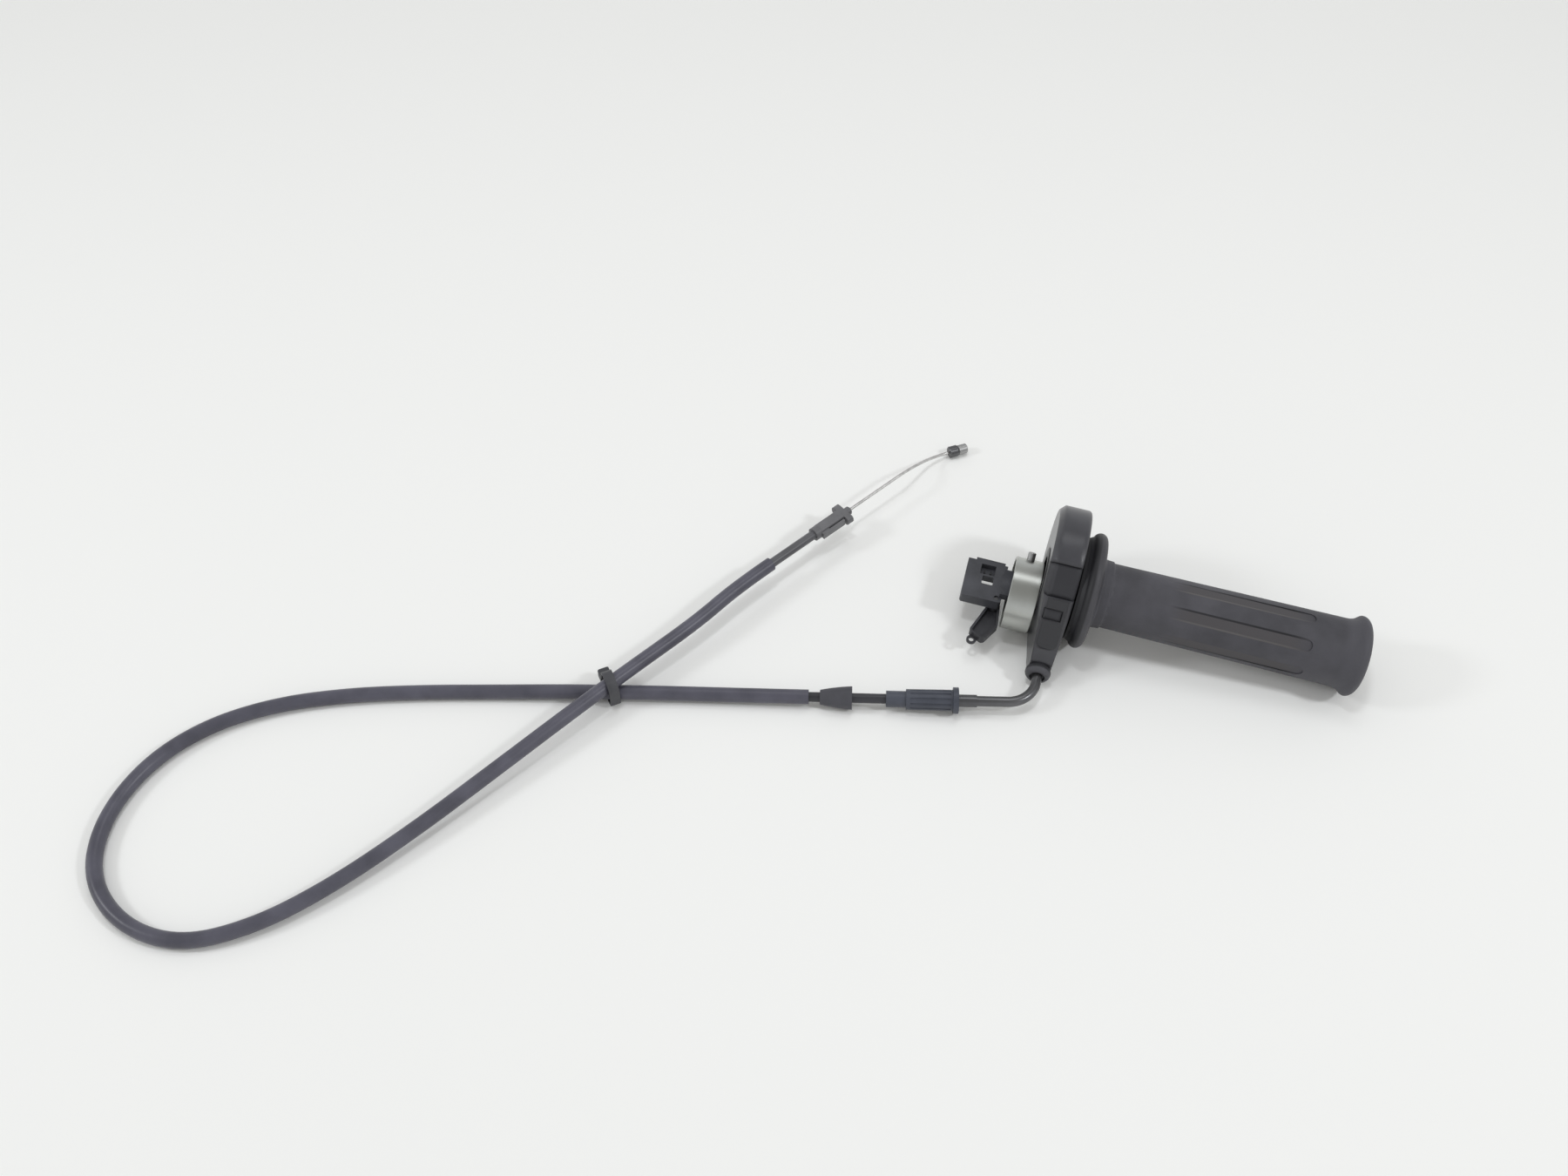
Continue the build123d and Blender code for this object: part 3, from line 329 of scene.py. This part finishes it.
elbow_rubber = Shader("elbow rubber", (0.070, 0.070, 0.079), 0.55)
by_the_shell = elbow_rubber.past(elbow_rubber.along(BACK), -38.6, 0.5)
elbow_rubber.tint(by_the_shell, (0.026, 0.026, 0.030)).grain(1500, 0.2)

black = Shader("black plastic", (0.028, 0.028, 0.031), 0.42).grain(1500, 0.15)
# Painted shade: the tube flange in the gap between housing and collar is darker than the
# black plastic.
flange = Shader("flange plastic", (0.012, 0.012, 0.014), 0.7).grain(1500, 0.15)
zinc = Shader("zinc", (0.38, 0.38, 0.38), 0.42, metal=0.9)
copper = Shader("copper", (0.6, 0.35, 0.2), 0.4, metal=1.0)


def mottled(name, color, rough, mottle, grain=None, metal=0.0):
    shader = Shader(name, color, rough, metal).mottle(*mottle)
    return shader.grain(*grain) if grain else shader


carrier = mottled(
    "carrier plastic", (0.064, 0.066, 0.076), 0.42, (90, 0.85, 1.2), (1500, 0.15)
)
boot = mottled("boot rubber", (0.066, 0.066, 0.077), 0.6, (80, 0.9, 1.15), (1500, 0.2))
adjuster = mottled(
    "adjuster plastic", (0.064, 0.070, 0.090), 0.42, (90, 0.88, 1.14), (1500, 0.15)
)
conduit = mottled("conduit", (0.038, 0.038, 0.045), 0.32, (60, 0.85, 1.2))
# Painted light: the far conduit, the same conduit as the near one, gets a lighter copy of
# its colour.
far_conduit = mottled("far conduit", (0.100, 0.100, 0.108), 0.3, (60, 0.9, 1.15))
fitting = mottled(
    "fitting plastic", (0.145, 0.145, 0.153), 0.4, (90, 0.85, 1.2), (1500, 0.15)
)
strap = mottled("strap nylon", (0.060, 0.061, 0.068), 0.45, (90, 0.85, 1.2), (1500, 0.15))
sleeve = mottled("sleeve", (0.088, 0.087, 0.112), 0.34, (70, 0.85, 1.2), (900, 0.15))
arm = mottled("arm plastic", (0.038, 0.038, 0.044), 0.42, (90, 0.85, 1.2), (1500, 0.15))
silver = mottled("ring silver", (0.49, 0.50, 0.475), 0.3, (45, 0.85, 1.05), metal=1.0)
dark_steel = mottled("dark steel", (0.125, 0.125, 0.13), 0.3, (60, 0.85, 1.15), metal=0.8)
wire = mottled("wire steel", (0.58, 0.57, 0.56), 0.35, (400, 0.8, 1.1), metal=1.0)

BY_SLOT = {
    "grip_rubber": rubber,
    "housing_plastic": plastic,
    "band_plastic": band,
    "black_plastic": black,
    "carrier_plastic": carrier,
    "adjuster_plastic": adjuster,
    "boot_rubber": boot,
    "conduit_black": conduit,
    "sleeve_black": sleeve,
    "ring_silver": silver,
    "dark_steel": dark_steel,
    "wire_steel": wire,
    "zinc": zinc,
    "copper_foil": copper,
}
BY_NODE = {
    # Painted shade: the metal terminals inside the socket wear the black plastic.
    "connector_terminals": black,
    "nipple_barrel": dark_steel,
    "grip_collar": collar,
    "housing_lower_shell": lower,
    "clamp_screw": zinc,
    # Painted shade for the flange in the gap.
    "tube_flange": flange,
    "elbow_boot": elbow_rubber,
    # Painted light: lighter copy of the conduit colour.
    "far_conduit": far_conduit,
    "end_fitting": fitting,
    "fitting_flange": fitting,
    "cable_tie": strap,
    "tie_head": strap,
    "latch_arm": arm,
}
for subpart in frame["record"]["subparts"]:
    finish = BY_NODE.get(subpart["node"], BY_SLOT[subpart["material_slot"]])
    materials = nodes[subpart["node"]].data.materials
    materials.clear()
    materials.append(finish.material)

# -------------------------------------------------------------------- floor
FLOOR_REACH = 6.0
floor_mesh = bpy.data.meshes.new("floor")
corners = [(-1, -1), (1, -1), (1, 1), (-1, 1)]
floor_mesh.from_pydata(
    [(x * FLOOR_REACH, y * FLOOR_REACH, TABLE * MM) for x, y in corners],
    [],
    [(0, 1, 2, 3)],
)
floor = bpy.data.objects.new("floor", floor_mesh)
scene.collection.objects.link(floor)
paper = Shader("floor", (0.93, 0.935, 0.925), 0.55, specular=0.3)
floor_mesh.materials.append(paper.material)


# ---------------------------------------------------------- collar and neck
def smooth(value, low, high):
    t = min(1.0, max(0.0, (value - low) / (high - low)))
    return t * t * (3 - 2 * t)


BORE_SIDE = 15.25
COLLAR_SHIFT = 1.6
NECK_START, NECK_END, NECK_RADIUS = 3.0, 9.4, 16.3
NECK_TAPER, NECK_STEP = 0.3, 0.7
NECK_RINGS = (5.5, 6.5, 7.5, 8.2, 8.5, 8.8, 9.1, 9.4, 10.5, 12.0, 14.0, 17.0, 20.0, 24.0)


def fuller(station, radius):
    """Collar further out with a lip behind it, and a broad neck with a small step."""
    if radius < BORE_SIDE:
        return station, radius
    outer = max(smooth(station, -1.0, 1.6), smooth(radius, 24.2, 25.4))
    moved = station + COLLAR_SHIFT * outer * (1 - smooth(station, 11.6, 24.0))
    if NECK_START < station < NECK_END:
        neck = NECK_RADIUS - NECK_TAPER * smooth(station, 4.0, 8.2)
        radius = max(radius, neck - NECK_STEP * smooth(station, 8.4, 9.2))
    return moved, radius


def fuller_skin(node, name, ring_stations):
    """Copy of a turned CAD node, with rings cut in and its outside made fuller."""
    mesh = nodes[node].data.copy()
    mesh.name = name
    work = bmesh.new()
    work.from_mesh(mesh)
    for station in ring_stations:
        bmesh.ops.bisect_plane(
            work,
            geom=work.verts[:] + work.edges[:] + work.faces[:],
            plane_co=GRIP * station * MM,
            plane_no=GRIP,
        )
    for vert in work.verts:
        station = vert.co.dot(GRIP) / MM
        off_axis = vert.co / MM - GRIP * station
        moved, radius = fuller(station, off_axis.length)
        vert.co = (GRIP * moved + off_axis * (radius / off_axis.length)) * MM
    work.to_mesh(mesh)
    work.free()
    piece = bpy.data.objects.new(name, mesh)
    scene.collection.objects.link(piece)
    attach(piece, "throttle")
    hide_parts(node)


fuller_skin("grip_collar", "collar_skin", ())
fuller_skin("rubber_grip", "grip_skin", NECK_RINGS)


# ------------------------------------------------------------------- cables
def cord_curve(name, points, radius, finish, body):
    """Round cord on a smooth curve with these control points, in mm."""
    data = bpy.data.curves.new(name, "CURVE")
    data.dimensions = "3D"
    data.bevel_depth = radius * MM
    data.bevel_resolution = 6
    data.resolution_u = 10
    data.use_fill_caps = True
    spline = data.splines.new("NURBS")
    spline.points.add(len(points) - 1)
    for point, place in zip(spline.points, points):
        point.co = (*(Vector(place) * MM), 1)
    spline.order_u = 3
    spline.use_endpoint_u = True
    piece = bpy.data.objects.new(name, data)
    scene.collection.objects.link(piece)
    data.materials.append(finish.material)
    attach(piece, body)
    return piece


# From the corner of the elbow the cable runs to the left and down to the table.
CABLE = heading(192.0, -1.4)
ELBOW_CORNER = grip_point(-12.0, -55.2, -20.5)
SLEEVE_START = ELBOW_CORNER + CABLE * 102.3
SLEEVE_RADIUS = 3.45

# Heights of its axis: on the table, on the tie's strap, and over the lower branch.
LYING = TABLE + SLEEVE_RADIUS + 0.05
TIE_THICKNESS = 1.1
LOWER = LYING + TIE_THICKNESS + 0.1
UPPER = LOWER + 2 * SLEEVE_RADIUS + 0.2

# The far end stands clear of the table.
TAIL = heading(56.2)
TAIL_START = Vector((-148.8, -11.4, TABLE + 13.6))
OVER_TIE = Vector((-202.3, -96.6, UPPER))
HUMP = heading(57.5) * 15.0

sleeve_route = [
    SLEEVE_START,
    SLEEVE_START + CABLE * 32,
    (-185.0, -92.3, LOWER),
    (-219.5, -100.6, LOWER),
    (-255.0, -109.3, LYING),
    (-290.0, -118.6, LYING),
    (-322.0, -128.9, LYING),
    (-351.0, -142.0, LYING),
    (-375.5, -160.5, LYING),
    (-391.5, -185.0, LYING),
    (-396.0, -214.5, LYING),
    (-387.0, -241.0, LYING),
    (-364.0, -257.5, LYING),
    (-335.5, -260.0, LYING),
    (-308.6, -244.8, LYING + 0.8),
    (-284.6, -219.8, LYING + 1.9),
    (-261.1, -187.3, LYING + 3.3),
    (-240.1, -154.9, LYING + 5.1),
    OVER_TIE - HUMP,
    OVER_TIE + HUMP,
    (-173.6, -53.2, UPPER + 1.0),
    TAIL_START - TAIL * 22.0,
    TAIL_START,
]
sleeve_piece = cord_curve("sleeve", sleeve_route, SLEEVE_RADIUS, sleeve, "housing")
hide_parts("cable_sleeve")

# The bare wire starts inside the end fitting and leaves it at the nose.
FAR_CONDUIT_LENGTH = 28.0
FITTING_LENGTH = 18.0
FITTING_END = FAR_CONDUIT_LENGTH + FITTING_LENGTH
WIRE_RADIUS = 0.75
BARREL_AXIS = heading(33.8)
BARREL_MOUTH = Vector((-79.8, 93.2, TABLE + 3.05))
wire_route = [
    TAIL_START + TAIL * (FITTING_END - 12.0),
    TAIL_START + TAIL * 60.0,
    TAIL_START + TAIL * 80.0,
    TAIL_START + TAIL * 93.0,
    BARREL_MOUTH - BARREL_AXIS * 9.0,
    BARREL_MOUTH + BARREL_AXIS * 3.0,
]
wire_piece = cord_curve("bare_wire", wire_route, WIRE_RADIUS, wire, "pull_wire")
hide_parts("inner_wire")
